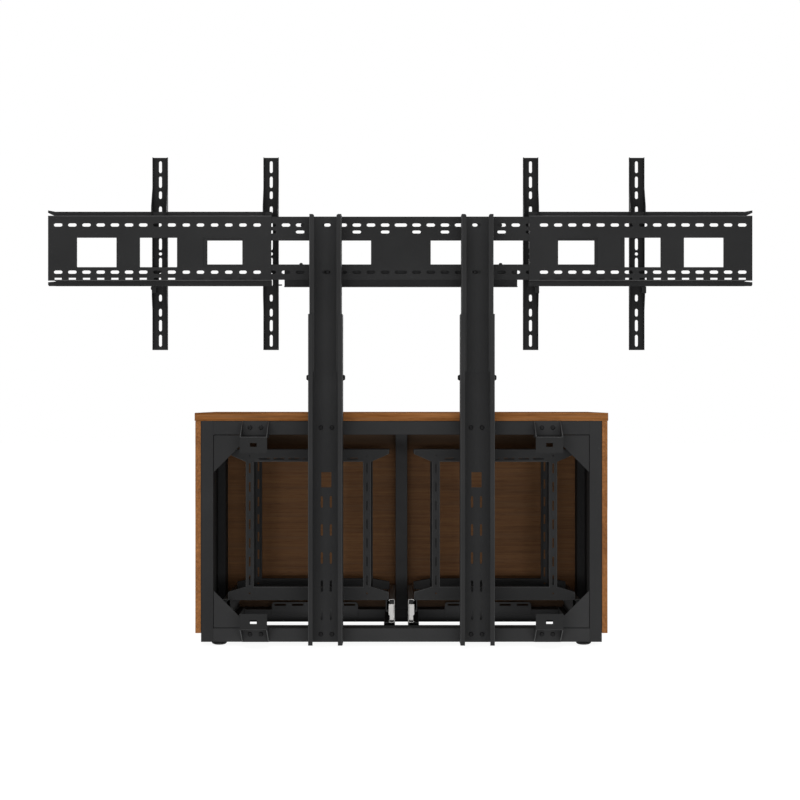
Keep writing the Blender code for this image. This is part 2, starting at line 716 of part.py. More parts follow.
def arm_profile():
    """Side outline of an arm: a web in front, and flanges that hook over the upper lip."""
    low = ARM_CENTRE_Z - ARM_LENGTH / 2
    high = ARM_CENTRE_Z + ARM_LENGTH / 2
    lip_top = RAIL_WEB_TOP + RAIL_LIP + GAP
    lip_low = RAIL_WEB_BOTTOM - RAIL_LIP
    nose = LIP_BACK + GAP + ARM_NOSE
    nose_bottom = RAIL_WEB_TOP + RUN_FIT
    catch = ARM_BACK + ARM_CATCH
    middle = ARM_BACK + ARM_MID_FLANGE
    end = ARM_BACK + ARM_END_FLANGE
    return [
        (ARM_FRONT, low),
        (end, low),
        (end, lip_low - ARM_TAPER),
        (catch, lip_low - ARM_SHOULDER),
        (catch, RAIL_WEB_BOTTOM - GAP),
        (middle, RAIL_WEB_BOTTOM + ARM_SHOULDER),
        (middle, RAIL_WEB_TOP - ARM_SHOULDER),
        (catch, RAIL_WEB_TOP),
        (catch, lip_top),
        (LIP_BACK + GAP, lip_top),
        (LIP_BACK + GAP, nose_bottom),
        (nose, nose_bottom),
        (nose, lip_top + ARM_SHOULDER / 2),
        (end, lip_top + ARM_TAPER),
        (end, high),
        (ARM_FRONT, high),
    ]


def make_arms(mast):
    profile = arm_profile()
    for number, x in enumerate(ARMS_X, start=1):
        slider = carriage(f"arm_slider_{number}", (x, ARM_BACK, ARM_CENTRE_Z))
        slider.parent = mast
        slider.matrix_parent_inverse = Matrix.Translation(-mast.location)
        low = x - ARM_WIDTH / 2
        high = x + ARM_WIDTH / 2
        ends = (profile[0][1] - CUT_OVER, profile[-1][1] + CUT_OVER)
        inside = rect(low + SHEET, ends[0], high - SHEET, ends[1])
        deepest = max(y for y, z in profile)
        hollow = prism("Y", inside, ARM_BACK, deepest + CUT_OVER)
        holes = [circle(x, ARM_CENTRE_Z, ARM_HOLE_RADIUS)]
        for offset, length in ARM_SLOT_SHARES:
            size = (ARM_SLOT_WIDTH, length * ARM_LENGTH / 2)
            for way in (-1, 1):
                holes.append(slot(x, ARM_CENTRE_Z + way * offset * ARM_LENGTH / 2, size))
        cut = cut_y(holes, ARM_FRONT, ARM_BACK)
        body = prism("X", profile, low, high)
        made = piece(f"display_arm_{number}", STEEL, body, cuts=[[hollow], cut])
        made.parent = slider
        made.matrix_parent_inverse = Matrix.Translation(-slider.location)


# Racks

def portal_outline(x, drop):
    ear = RACK_WIDTH / 2
    top = RACK_TOP - drop
    side = UPRIGHT_SPACING / 2 + UPRIGHT_WIDTH / 2
    right = [
        (ear, RACK_BOTTOM),
        (ear, RACK_BOTTOM + BOTTOM_EAR),
        (side, RACK_BOTTOM + BOTTOM_BAR - drop),
        (side, top - TOP_BAR),
        (ear, top - TOP_EAR),
        (ear, top),
    ]
    left = [(-a, b) for a, b in reversed(right)]
    return [(x + a, b) for a, b in right + left]


def make_portal(name, x, back, rack, flat_behind=True, drop=0):
    """A folded frame: flat and slotted on its outer side, open on the other inside its edges."""
    front = back - PORTAL_DEPTH
    inside = UPRIGHT_SPACING / 2 - UPRIGHT_WIDTH / 2
    side = inside + UPRIGHT_WIDTH
    low = RACK_BOTTOM + BOTTOM_BAR - drop
    high = RACK_TOP - TOP_BAR - drop
    wall = PORTAL_WALL
    window = cut_y([rect(x - inside, low, x + inside, high)], front, back)
    bars = [
        rect(x - side, RACK_BOTTOM + wall, x + side, low - wall),
        rect(x - side, high + wall, x + side, high + TOP_BAR - wall),
    ]
    if flat_behind:
        pocket = (front - CUT_OVER, back - wall)
        web = (back - wall, back)
    else:
        pocket = (front + wall, back + CUT_OVER)
        web = (front, front + wall)
    bar_pockets = [prism("Y", bar, *pocket) for bar in bars]
    upright_pockets = []
    for sign in (1, -1):
        near = x + sign * (inside + wall)
        far = x + sign * (side - wall)
        outline = rect(near, low - 2 * wall, far, high + 2 * wall)
        upright_pockets.append(prism("Y", outline, *pocket))
    bar_z = high + BAR_SLOT_RISE
    first = x - BAR_SLOT_PITCH * (BAR_SLOT_COUNT - 1) / 2
    holes = [
        centred_rect(first + i * BAR_SLOT_PITCH, bar_z, BAR_SLOT) for i in range(BAR_SLOT_COUNT)
    ]
    lowest = low + UPRIGHT_SLOT_MARGIN + UPRIGHT_SLOT[1] / 2
    pitch = (low + high - 2 * lowest) / (UPRIGHT_SLOT_COUNT - 1)
    for sign in (1, -1):
        middle = x + sign * UPRIGHT_SPACING / 2
        for i in range(UPRIGHT_SLOT_COUNT):
            holes.append(centred_rect(middle, lowest + i * pitch, UPRIGHT_SLOT))
        for z in ((RACK_BOTTOM + low) / 2, high + TOP_BAR / 2):
            holes.append(circle(middle, z, PORTAL_HOLE, ROUND_SIDES // 2))
    slots = cut_y(holes, *web)
    body = prism("Y", portal_outline(x, drop), front, back)
    cuts = [window, bar_pockets, upright_pockets, slots]
    piece(name, STEEL, body, cuts=cuts, carrier=rack)


def make_slide(bay, place, x, way, rack):
    """A fixed channel on its runner rail, and a moving bar in it that carries the portals."""

    def across(distance):
        return x + way * distance

    web = SLIDE_OUT
    mouth = SLIDE_OUT - SLIDE_WIDTH
    top = SLIDE_BOTTOM + SLIDE_HEIGHT
    middle = (SLIDE_BOTTOM + top) / 2
    low_lip = SLIDE_BOTTOM + SLIDE_LIP
    high_lip = top - SLIDE_LIP
    channel = [
        (web, SLIDE_BOTTOM),
        (web, top),
        (mouth, top),
        (mouth, high_lip),
        (mouth + SLIDE_WALL, high_lip),
        (mouth + SLIDE_WALL, top - SLIDE_WALL),
        (web - SLIDE_WALL, top - SLIDE_WALL),
        (web - SLIDE_WALL, SLIDE_BOTTOM + SLIDE_WALL),
        (mouth + SLIDE_WALL, SLIDE_BOTTOM + SLIDE_WALL),
        (mouth + SLIDE_WALL, low_lip),
        (mouth, low_lip),
        (mouth, SLIDE_BOTTOM),
    ]
    outline = [(across(a), b) for a, b in channel]
    body = prism("Y", outline, SLIDE_BACK - SLIDE_LENGTH, SLIDE_BACK)
    stop_low = middle - SLIDE_STOP_DROP - SLIDE_STOP_HEIGHT / 2
    stop_high = stop_low + SLIDE_STOP_HEIGHT
    plate = rect(across(web - GAP), stop_low, across(mouth + GAP), stop_high)
    stop = prism("Y", plate, SLIDE_BACK - SLIDE_WALL, SLIDE_BACK + SLIDE_STOP)
    piece(f"slide_fixed_{bay}_{place}", ZINC, body, joins=[stop])

    block_out = web - SLIDE_WALL - RUN_FIT
    block_in = mouth + SLIDE_WALL + RUN_FIT
    block_low = SLIDE_BOTTOM + SLIDE_WALL + RUN_FIT
    block_high = top - SLIDE_WALL - RUN_FIT
    riser_out = RACK_WIDTH / 2 - RISER_INSET
    riser_in = riser_out - MOVING_FLANGE
    bar = [
        (block_out, block_low),
        (block_out, block_high),
        (block_in, block_high),
        (block_in, middle + MOVING_NECK / 2),
        (riser_out, middle + MOVING_NECK / 2),
        (riser_out, RACK_BOTTOM - GAP),
        (riser_in, RACK_BOTTOM - GAP),
        (riser_in, middle - MOVING_NECK / 2),
        (block_in, middle - MOVING_NECK / 2),
        (block_in, block_low),
    ]
    outline = [(across(a), b) for a, b in bar]
    back = SLIDE_BACK - SLIDE_WALL - GAP
    body = prism("Y", outline, back - MOVING_LENGTH, back)
    piece(f"slide_moving_{bay}_{place}", STEEL, body, carrier=rack)


def make_racks():
    for bay, sign in (("left", 1), ("right", -1)):
        x = sign * BAY_X
        rack = carriage(f"rack_carriage_{bay}", (x, SLIDE_BACK, SLIDE_BOTTOM))
        back = REAR_Y - REAR_PORTAL_SETBACK
        make_portal(f"rack_portal_rear_{bay}", x, back, rack)
        front_back = back - PORTAL_SPACING
        make_portal(f"rack_portal_front_{bay}", x, front_back, rack, False, FRONT_PORTAL_DROP)
        make_slide(bay, "outer", x, sign, rack)
        make_slide(bay, "inner", x, -sign, rack)


def make_lacing_bars():
    front = FRONT_Y + TUBE_DEPTH + GAP
    low = LOW_RAIL_TOP - LACING_LAP
    half = LACING_WIDTH / 2
    for bay, sign in (("left", 1), ("right", -1)):
        x = sign * BAY_X
        outline = [
            (x - half, low),
            (x + half, low),
            (x + half, LACING_TOP - LACING_CHAMFER),
            (x + half - LACING_CHAMFER, LACING_TOP),
            (x - half + LACING_CHAMFER, LACING_TOP),
            (x - half, LACING_TOP - LACING_CHAMFER),
        ]
        z = LACING_TOP - LACING_SLOT_DROP
        first = x - LACING_SLOT_PITCH * (LACING_SLOT_COUNT - 1) / 2
        places = [first + i * LACING_SLOT_PITCH for i in range(LACING_SLOT_COUNT)]
        cut = cut_y([centred_rect(a, z, LACING_SLOT) for a in places], front, front + SHEET)
        body = prism("Y", outline, front, front + SHEET)
        piece(f"lacing_bar_{bay}", STEEL, body, cuts=[cut])


make_panels()
make_doors()
make_pivots()
make_frame()
make_runners()
make_gussets()
make_feet()
make_brackets()
mast_slide = carriage("mast_slide", (0, INNER_FRONT, INNER_BOTTOM))
make_posts(mast_slide)
make_centre_plate(mast_slide)
make_end_plates(mast_slide)
make_cross_bar(mast_slide)
make_arms(mast_slide)
make_racks()
make_lacing_bars()
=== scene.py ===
import json
import math

import bmesh
import bpy
from mathutils import Matrix, Vector


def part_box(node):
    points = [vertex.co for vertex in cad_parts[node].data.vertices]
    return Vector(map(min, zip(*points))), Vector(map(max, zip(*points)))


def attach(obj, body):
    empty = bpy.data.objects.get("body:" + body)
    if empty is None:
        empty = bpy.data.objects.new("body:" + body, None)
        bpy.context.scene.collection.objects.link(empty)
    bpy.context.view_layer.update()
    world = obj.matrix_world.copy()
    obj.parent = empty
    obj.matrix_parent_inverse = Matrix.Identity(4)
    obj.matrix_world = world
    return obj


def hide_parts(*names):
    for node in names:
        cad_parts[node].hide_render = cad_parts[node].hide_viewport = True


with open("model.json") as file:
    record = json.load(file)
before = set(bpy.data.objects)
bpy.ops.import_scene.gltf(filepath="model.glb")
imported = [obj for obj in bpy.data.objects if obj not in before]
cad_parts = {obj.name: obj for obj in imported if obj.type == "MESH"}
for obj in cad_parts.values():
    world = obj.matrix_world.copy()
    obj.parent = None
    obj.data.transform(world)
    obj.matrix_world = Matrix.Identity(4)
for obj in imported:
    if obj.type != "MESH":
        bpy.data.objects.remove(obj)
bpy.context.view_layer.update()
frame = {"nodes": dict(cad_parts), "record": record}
nodes = frame["nodes"]
record = frame["record"]
bodyOf = {node: body for body, group in record["behaviour"]["bodies"].items() for node in group}
slotOf = {row["node"]: row["material_slot"] for row in record["subparts"]}
print("frame loaded:", len(nodes), "nodes")


# shader values with arithmetic, and one place that adds every other node

class Wire:
    def __init__(self, tree, socket):
        self.tree = tree
        self.socket = socket

    def join(self, operation, first, second):
        made = self.tree.nodes.new("ShaderNodeMath")
        made.operation = operation
        for place, value in zip(made.inputs, (first, second)):
            if isinstance(value, Wire):
                self.tree.links.new(value.socket, place)
            else:
                place.default_value = value
        return Wire(self.tree, made.outputs[0])

    def __add__(self, other):
        return self.join("ADD", self, other)

    def __sub__(self, other):
        return self.join("SUBTRACT", self, other)

    def __rsub__(self, other):
        return self.join("SUBTRACT", other, self)

    def __mul__(self, other):
        return self.join("MULTIPLY", self, other)

    __radd__ = __add__
    __rmul__ = __mul__


class Finish:
    def __init__(self, name, holder=None):
        self.holder = holder or bpy.data.materials.new(name)
        self.holder.use_nodes = True
        self.tree = self.holder.node_tree
        self.shader = self.tree.nodes.get("Principled BSDF")

    def put(self, socket, value):
        if isinstance(value, Wire):
            self.tree.links.new(value.socket, socket)
        elif isinstance(value, tuple) and socket.type == "RGBA" and len(value) == 3:
            socket.default_value = (*value, 1)
        else:
            socket.default_value = value

    def node(self, kind, settings=None, sockets=None, output=0):
        made = self.tree.nodes.new("ShaderNode" + kind)
        for name, value in (settings or {}).items():
            if name == "stops":
                ramp = made.color_ramp.elements
                while len(ramp) < len(value):
                    ramp.new(1)
                for stop, (place, colour) in zip(ramp, value):
                    stop.position = place
                    stop.color = (*colour, 1)
            else:
                setattr(made, name, value)
        for name, value in (sockets or {}).items():
            self.put(made.inputs[name], value)
        return Wire(self.tree, made.outputs[output])

    def place(self, stretch=(1, 1, 1)):
        coords = self.node("TexCoord", output="Object")
        return self.node("Mapping", sockets={"Vector": coords, "Scale": stretch})

    def height(self):
        return self.node("SeparateXYZ", sockets={"Vector": self.place()}, output="Z")

    def noise(self, where, scale, detail=2.0, rough=0.5):
        sockets = {"Vector": where, "Scale": scale, "Detail": detail, "Roughness": rough}
        return self.node("TexNoise", sockets=sockets)

    def mix(self, factor, first, second):  # a Mix node has its colours at these sockets
        return self.node("Mix", {"data_type": "RGBA"}, {0: factor, 6: first, 7: second}, output=2)

    def clip(self, value, low, high):
        sockets = {"Value": value, "From Min": low, "From Max": high}
        return self.node("MapRange", {"clamp": True}, sockets)

    def bump(self, height, strength, distance):
        sockets = {"Height": height, "Strength": strength, "Distance": distance}
        return self.node("Bump", sockets=sockets)

    def shade(self, **sockets):
        names = {
            "colour": "Base Color",
            "roughness": "Roughness",
            "metallic": "Metallic",
            "normal": "Normal",
            "specular": "Specular IOR Level",
        }
        for name, value in sockets.items():
            self.put(self.shader.inputs[names[name]], value)
        return self.holder


# black finishes

steelLook = {
    "dark": (0.0178, 0.0179, 0.0182),
    "pale": (0.0262, 0.0263, 0.0267),
    "grain": 900,
    "roughness": 0.60,
    "specular": 0.050,
}
# postLitLook: a lighter copy of the black coat, painted light on the deeper faces of the posts' channels
postLitLook = {**steelLook, "dark": (0.0230, 0.0231, 0.0236), "pale": (0.0332, 0.0334, 0.0340)}
# lowLitLook: a lighter copy of the black coat, painted light on the bottom rail, the bottom gussets and
# the bracket bodies
lowLitLook = {**steelLook, "dark": (0.0225, 0.0226, 0.0230), "pale": (0.0332, 0.0333, 0.0338)}
# bracketShadedLook: a darker copy of the black coat, painted shade on the brackets' rear plates
bracketShadedLook = {**steelLook, "dark": (0.0143, 0.0144, 0.0146), "pale": (0.0210, 0.0211, 0.0214)}
# railShadedLook: a darker copy of the black coat, painted shade on the rail plates and the lower cross bar
railShadedLook = {**steelLook, "dark": (0.0158, 0.0159, 0.0162), "pale": (0.0233, 0.0234, 0.0238)}
# deepLitLook: a much lighter copy of the black coat, painted light on the centre upright, the front bottom
# rail and the lacing bars
deepLitLook = {**steelLook, "dark": (0.0345, 0.0347, 0.0356), "pale": (0.0490, 0.0493, 0.0504)}
# innerLitLook: a lighter copy of the black coat, painted light on the front rack portals
innerLitLook = {
    **steelLook,
    "dark": (0.0230, 0.0229, 0.0232),
    "pale": (0.0344, 0.0342, 0.0346),
    "specular": 0.035,
}
# armShadedLook: a darker copy of the black coat, painted shade on the display arms
armShadedLook = {
    **steelLook,
    "dark": (0.0106, 0.0106, 0.0108),
    "pale": (0.0164, 0.0164, 0.0167),
    "roughness": 0.55,
    "specular": 0.045,
}
# foldHighlightLook: a paler, glossier copy of the black coat, a painted highlight on the rounded bends and
# edges
foldHighlightLook = {
    **steelLook,
    "dark": (0.0320, 0.0322, 0.0326),
    "pale": (0.0450, 0.0453, 0.0458),
    "roughness": 0.45,
    "specular": 0.120,
}
# edgeHighlightLook: paler still, a painted highlight on the rounded edges of the rail plates and the lower
# cross bar
edgeHighlightLook = {**foldHighlightLook, "dark": (0.0430, 0.0432, 0.0436), "pale": (0.0600, 0.0603, 0.0608)}
oxideLook = {
    "dark": (0.0090, 0.0090, 0.0093),
    "pale": (0.0132, 0.0132, 0.0135),
    "grain": 1600,
    "roughness": 0.48,
    "specular": 0.070,
}
footLook = {
    "dark": (0.0070, 0.0070, 0.0070),
    "pale": (0.0110, 0.0110, 0.0110),
    "grain": 700,
    "roughness": 0.55,
    "specular": 0.20,
}
coatGrain = {
    "broad": (5, 3),  # noise scale and detail
    "fine": (2, 0.6),  # detail and roughness of the look's own grain
    "scuffs": (60, 4, 0.7),
    "scuffRange": (0.60, 0.74),
    "shares": (0.6, 0.4),  # of the broad and the fine noise in the tone
    "toneRange": (0.3, 0.7),
    "grainRough": 0.14,
    "scuffRough": 0.06,
    "bump": (0.14, 0.0004),
}
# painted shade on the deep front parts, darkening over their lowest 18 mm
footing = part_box("front_bottom_rail")[0].z
deepPaintedShade = {"rise": (footing, footing + 0.018), "gloom": (0.0010, 0.0010, 0.0010)}


def powderCoat(name, look, shade=None):
    coat = Finish(name)
    where = coat.place()
    broad = coat.noise(where, *coatGrain["broad"])
    grain = coat.noise(where, look["grain"], *coatGrain["fine"])
    scuffs = coat.clip(coat.noise(where, *coatGrain["scuffs"]), *coatGrain["scuffRange"])
    broadShare, fineShare = coatGrain["shares"]
    tone = coat.clip(broad * broadShare + grain * fineShare, *coatGrain["toneRange"])
    colour = coat.mix(tone, look["dark"], look["pale"])
    if shade:  # painted shade, darker towards the floor
        colour = coat.mix(coat.clip(coat.height(), *shade["rise"]), shade["gloom"], colour)
    return coat.shade(
        colour=colour,
        roughness=look["roughness"] + grain * coatGrain["grainRough"] - scuffs * coatGrain["scuffRough"],
        normal=coat.bump(grain, *coatGrain["bump"]),
        specular=look["specular"],
    )


# wood laminate

woodLook = {
    "dark": (0.116, 0.041, 0.0095),
    "middle": (0.200, 0.077, 0.0200),
    "pale": (0.292, 0.122, 0.0370),
    "ash": (0.182, 0.088, 0.0380),
    "pore": (0.055, 0.020, 0.0065),
}
# topSheenLook: a greyer copy of the wood, painted sheen on the top panel, whose finish has no specular
topSheenLook = {
    "dark": (0.116, 0.0430, 0.0115),
    "middle": (0.206, 0.0830, 0.0250),
    "pale": (0.300, 0.1300, 0.0450),
    "ash": (0.188, 0.0940, 0.0430),
    "pore": (0.055, 0.0200, 0.0070),
}
# insideShadedLook: a darker copy of the wood, painted shade on the doors' inner faces
insideShadedLook = {
    "dark": (0.068, 0.0281, 0.0092),
    "middle": (0.107, 0.0475, 0.0164),
    "pale": (0.146, 0.0691, 0.0254),
    "ash": (0.100, 0.0513, 0.0232),
    "pore": (0.038, 0.0147, 0.0056),
}
woodGrain = {
    "streak": (150, 4, 4, 0.6),  # scale across and along the grain, detail, roughness
    "band": (14, 0.9, 3, 0.55),
    "fleck": (420, 30, 2, 0.5),
    "pore": (900, 26, 2, 0.5),
    "ash": (190, 3.2, 3, 0.55),
    "shares": (0.52, 0.34, 0.14),  # of streak, band and fleck in the tone
    "toneRange": (0.36, 0.64),
    "poreRange": (0.60, 0.72),
    "poreShare": 0.6,
    "ashRange": (0.50, 0.66),
    "ashShare": 0.6,
    "roughness": 0.50,
    "poreRough": 0.2,
    "streakRough": 0.08,
    "bump": (0.10, 0.0003),
    "sheen": 0.08,
}
# painted shade on the doors' inner faces near their top and bottom
insidePaintedShade = {
    "rise": (0.060, 0.140),
    "fall": (0.550, 0.598),
    "gloom": (0.044, 0.0230, 0.0106),
}


def woodLaminate(name, look, grainAxis, sheen=woodGrain["sheen"], shade=None):
    wood = Finish(name)

    def stretched(kind):
        across, length, detail, rough = woodGrain[kind]
        scale = [across, across, across]
        scale[grainAxis] = length
        return wood.noise(wood.place(tuple(scale)), 1, detail, rough)

    streak = stretched("streak")
    streakShare, bandShare, fleckShare = woodGrain["shares"]
    mixed = streak * streakShare + stretched("band") * bandShare + stretched("fleck") * fleckShare
    tone = wood.clip(mixed, *woodGrain["toneRange"])
    stops = [(0.0, look["dark"]), (0.5, look["middle"]), (1.0, look["pale"])]
    grain = wood.node("ValToRGB", {"stops": stops}, {"Fac": tone})
    ash = wood.clip(stretched("ash"), *woodGrain["ashRange"])
    lines = wood.clip(stretched("pore"), *woodGrain["poreRange"])
    ashen = wood.mix(ash * woodGrain["ashShare"], grain, look["ash"])
    colour = wood.mix(lines * woodGrain["poreShare"], ashen, look["pore"])
    if shade:  # painted shade, darker towards the top and the bottom
        lit = wood.clip(wood.height(), *shade["rise"]) - wood.clip(wood.height(), *shade["fall"])
        colour = wood.mix(lit, shade["gloom"], colour)
    worn = lines * woodGrain["poreRough"] + streak * woodGrain["streakRough"]
    return wood.shade(
        colour=colour,
        roughness=woodGrain["roughness"] + worn,
        normal=wood.bump(1 - lines, *woodGrain["bump"]),
        specular=sheen,
    )


# zinc plate

zincLook = {
    "dark": (0.136, 0.134, 0.130),
    "pale": (0.200, 0.197, 0.192),
    "roughness": 0.40,
    "metallic": 1.0,
}
# shadedZincLook: a dark copy of the zinc, painted shade on the outer slides
shadedZincLook = {
    "dark": (0.030, 0.030, 0.029),
    "pale": (0.050, 0.049, 0.048),
    "roughness": 0.50,
    "metallic": 0.7,
}
stopLook = {
    "dark": (0.356, 0.347, 0.338),
    "pale": (0.445, 0.436, 0.423),
    "roughness": 0.42,
    "metallic": 0.15,
}
plateGrain = {
    "cloud": (60, 3),
    "drawn": (900, 12, 900),  # stretched along the slide
    "shares": (0.5, 0.5),  # of the cloud and the drawn noise in the tone
    "toneRange": (0.3, 0.7),
    "drawnRough": 0.14,
    "bump": (0.05, 0.0002),
}


def zincPlate(name, look):
    plate = Finish(name)
    cloud = plate.noise(plate.place(), *plateGrain["cloud"])
    drawn = plate.noise(plate.place(plateGrain["drawn"]), 1)
    cloudShare, drawnShare = plateGrain["shares"]
    tone = plate.clip(cloud * cloudShare + drawn * drawnShare, *plateGrain["toneRange"])
    return plate.shade(
        colour=plate.mix(tone, look["dark"], look["pale"]),
        roughness=look["roughness"] + drawn * plateGrain["drawnRough"],
        metallic=look["metallic"],
        normal=plate.bump(drawn, *plateGrain["bump"]),
    )


blackSteel = powderCoat("blackPowderCoat", steelLook)
foldHighlight = powderCoat("blackPowderFoldHighlight", foldHighlightLook)
armShadedSteel = powderCoat("blackPowderArmShaded", armShadedLook)
innerLitSteel = powderCoat("blackPowderInsideLit", innerLitLook)
deepLitSteel = powderCoat("blackPowderDeepLit", deepLitLook, deepPaintedShade)
railShadedSteel = powderCoat("blackPowderRailShaded", railShadedLook)
lowLitSteel = powderCoat("blackPowderLowLit", lowLitLook)
bracketShadedSteel = powderCoat("blackPowderBracketShaded", bracketShadedLook)
postLitSteel = powderCoat("blackPowderPostLit", postLitLook)
edgeHighlight = powderCoat("blackPowderEdgeHighlight", edgeHighlightLook)
blackOxide = powderCoat("blackOxide", oxideLook)
footPlastic = powderCoat("footPlastic", footLook)
woodAcross = woodLaminate("woodGrainAcross", woodLook, 0)
woodTop = woodLaminate("woodGrainTop", topSheenLook, 0, sheen=0.0)
woodDeep = woodLaminate("woodGrainDeep", woodLook, 1)
woodInsideShaded = woodLaminate("woodInsideShadedFace", insideShadedLook, 0, shade=insidePaintedShade)
zinc = zincPlate("zincPlate", zincLook)
shadedZinc = zincPlate("shadedZincPlate", shadedZincLook)
paleStop = zincPlate("paleSlideStop", stopLook)
finishOf = {
    "black_steel": blackSteel,
    "fastener": blackOxide,
    "foot": footPlastic,
    "zinc": zinc,
    "wood": woodAcross,
}
for name, node in nodes.items():
    node.data.materials.clear()
    node.data.materials.append(finishOf[slotOf[name]])
print("finishes set")


# modelling by hand: a clean selection, picks by place, and a piece's last steps

slack = {
    "merge": 0.00001,  # between points that are one
    "edge": 0.00005,  # from a box's edge
    "level": 0.0001,  # from a plane
    "flatAngle": 0.5,
    "sharpAngle": 40,
    "smoothAngle": 35,
    "facing": 0.9,  # cosine of a normal that points one way
    "straight": 0.99,  # cosine of an edge or a normal that keeps to an axis
    "slant": 0.25,  # least share of Y and of Z in a slanted normal
}


def clearSelection():
    if bpy.context.mode != "OBJECT":
        bpy.ops.object.mode_set(mode="OBJECT")
    bpy.ops.object.select_all(action="DESELECT")


def activate(piece):
    clearSelection()
    piece.select_set(True)
    bpy.context.view_layer.objects.active = piece


def openMesh(piece):
    activate(piece)
    bpy.ops.object.mode_set(mode="EDIT")


def selectAll():
    bpy.ops.mesh.select_all(action="SELECT")


def pick(piece, kind, test):
    bpy.ops.mesh.select_mode(type=kind)
    bpy.ops.mesh.select_all(action="DESELECT")
    mesh = bmesh.from_edit_mesh(piece.data)
    groups = {"FACE": mesh.faces, "EDGE": mesh.edges, "VERT": mesh.verts}
    for part in groups[kind]:
        if test(part):
            part.select_set(True)
    mesh.select_flush_mode()
    bmesh.update_edit_mesh(piece.data)


def closeMesh(piece, angle=slack["smoothAngle"]):
    selectAll()
    bpy.ops.mesh.normals_make_consistent(inside=False)
    activate(piece)
    bpy.ops.object.transform_apply(location=True, rotation=True, scale=True)
    bpy.ops.object.shade_smooth_by_angle(angle=math.radians(angle))
    flat = piece.modifiers.new("flat", "WEIGHTED_NORMAL")
    flat.keep_sharp = True
    bpy.ops.object.modifier_apply(modifier=flat.name)


def applyAll(piece):
    activate(piece)
    for modifier in list(piece.modifiers):
        bpy.ops.object.modifier_apply(modifier=modifier.name)


def hand(piece, look, slot, body, *stoodFor):
    if look:
        piece.data.materials.clear()
        piece.data.materials.append(look)
    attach(piece, body)
    if stoodFor:
        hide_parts(*stoodFor)


def middleX(name):
    low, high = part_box(name)
    return (low.x + high.x) / 2


# edges of the steel and of the boards, rounded on merged copies of the nodes

softTubes = {"round": 0.0022, "steps": 3}
softBoards = {"round": 0.0013, "steps": 3}
softFlats = {"round": 0.0010, "steps": 2, "gussetShrink": 0.978}
softSmall = {"round": 0.0004, "steps": 2}
softFolds = {
    "round": 0.0005,
    "steps": 2,
    "bend": 0.0021,
    "bendSteps": 4,
    "wall": 0.004,  # a fold has wider faces than this on both sides
    "least": 0.3,  # and is longer than this
}
softRails = {
    **softFolds,
    "wall": 0.0026,  # more than the sheet, less than the strips that are cut beside the folds
    "cuts": (0.0172, 0.0212),  # from the bottom and from the top of the plate
}
softPosts = {**softFolds, "round": 0.0006, "bend": 0.0027, "bendSteps": 5}
softPortals = {**softFolds, "round": 0.0004, "bend": 0.0017, "least": 0.01}
softBrackets = {**softFolds, "round": 0.0009, "least": 0.05}
edgePaint = 1  # places in a copy's list of materials
rearPaint = 2
backPaint = 1


def dissolveFlat():
    selectAll()
    bpy.ops.mesh.dissolve_limited(
        angle_limit=math.radians(slack["flatAngle"]), delimit={"NORMAL", "SEAM"}
    )


def splitConcave():
    selectAll()
    bpy.ops.mesh.vert_connect_concave()
    bpy.ops.mesh.normals_make_consistent(inside=False)


def cutBesideFolds(name, cuts):  # plain strips beside the rear folds, clear of the slots
    low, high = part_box(name)
    for level in (low.z + cuts[0], high.z - cuts[1]):
        selectAll()
        bpy.ops.mesh.bisect(plane_co=(0, 0, level), plane_no=(0, 0, 1))
        bpy.ops.mesh.mark_seam()


def mergedCopy(name, looks, cuts=None):
    mesh = nodes[name].data.copy()
    mesh.materials.clear()
    for look in looks:
        mesh.materials.append(look)
    piece = bpy.data.objects.new("soft_" + name, mesh)
    bpy.context.scene.collection.objects.link(piece)
    openMesh(piece)
    bpy.ops.mesh.customdata_custom_splitnormals_clear()
    selectAll()
    bpy.ops.mesh.remove_doubles(threshold=slack["merge"])
    if cuts:
        cutBesideFolds(name, cuts)
    dissolveFlat()
    if not cuts:  # a piece with cuts is split after its folds are bent
        splitConcave()
    return piece


def roundEdges(piece, wanted, offset, steps, paint=-1, clamp=True):
    pick(piece, "EDGE", wanted)
    bpy.ops.mesh.bevel(
        offset=offset, segments=steps, affect="EDGES", clamp_overlap=clamp, material=paint
    )


sideways = {  # the rail isn't quite centred
    "rail_end": 0.0036,
    "rail_centre": 0.0017,
    "lower_cross": 0.0017,
}


def finishCopy(piece, name):
    closeMesh(piece)
    for start, shift in sideways.items():
        if name.startswith(start):
            piece.data.transform(Matrix.Translation((shift, 0, 0)))
    hand(piece, None, slotOf[name], bodyOf[name], name)
    return piece


def onBoxEdge(name):
    low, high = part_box(name)

    def test(edge):
        shared = 0
        for axis in range(3):
            for wall in (low[axis], high[axis]):
                if all(abs(vert.co[axis] - wall) < slack["edge"] for vert in edge.verts):
                    shared += 1
        return shared >= 2

    return test


def sharp(edge):
    return edge.is_manifold and edge.calc_face_angle() > math.radians(slack["sharpAngle"])


def widthBeside(edge, face):
    run = (edge.verts[1].co - edge.verts[0].co).normalized()
    across = face.normal.cross(run)
    spots = [vert.co.dot(across) for vert in face.verts]
    return max(spots) - min(spots)


def folds(settings, place):
    def test(edge):
        if not sharp(edge) or not edge.is_convex or edge.calc_length() < settings["least"]:
            return False
        if not place(edge):
            return False
        return all(widthBeside(edge, face) > settings["wall"] for face in edge.link_faces)

    return test


def along(axis):
    def test(edge):
        step = edge.verts[1].co - edge.verts[0].co
        return abs(step[axis]) > slack["straight"] * step.length

    return test


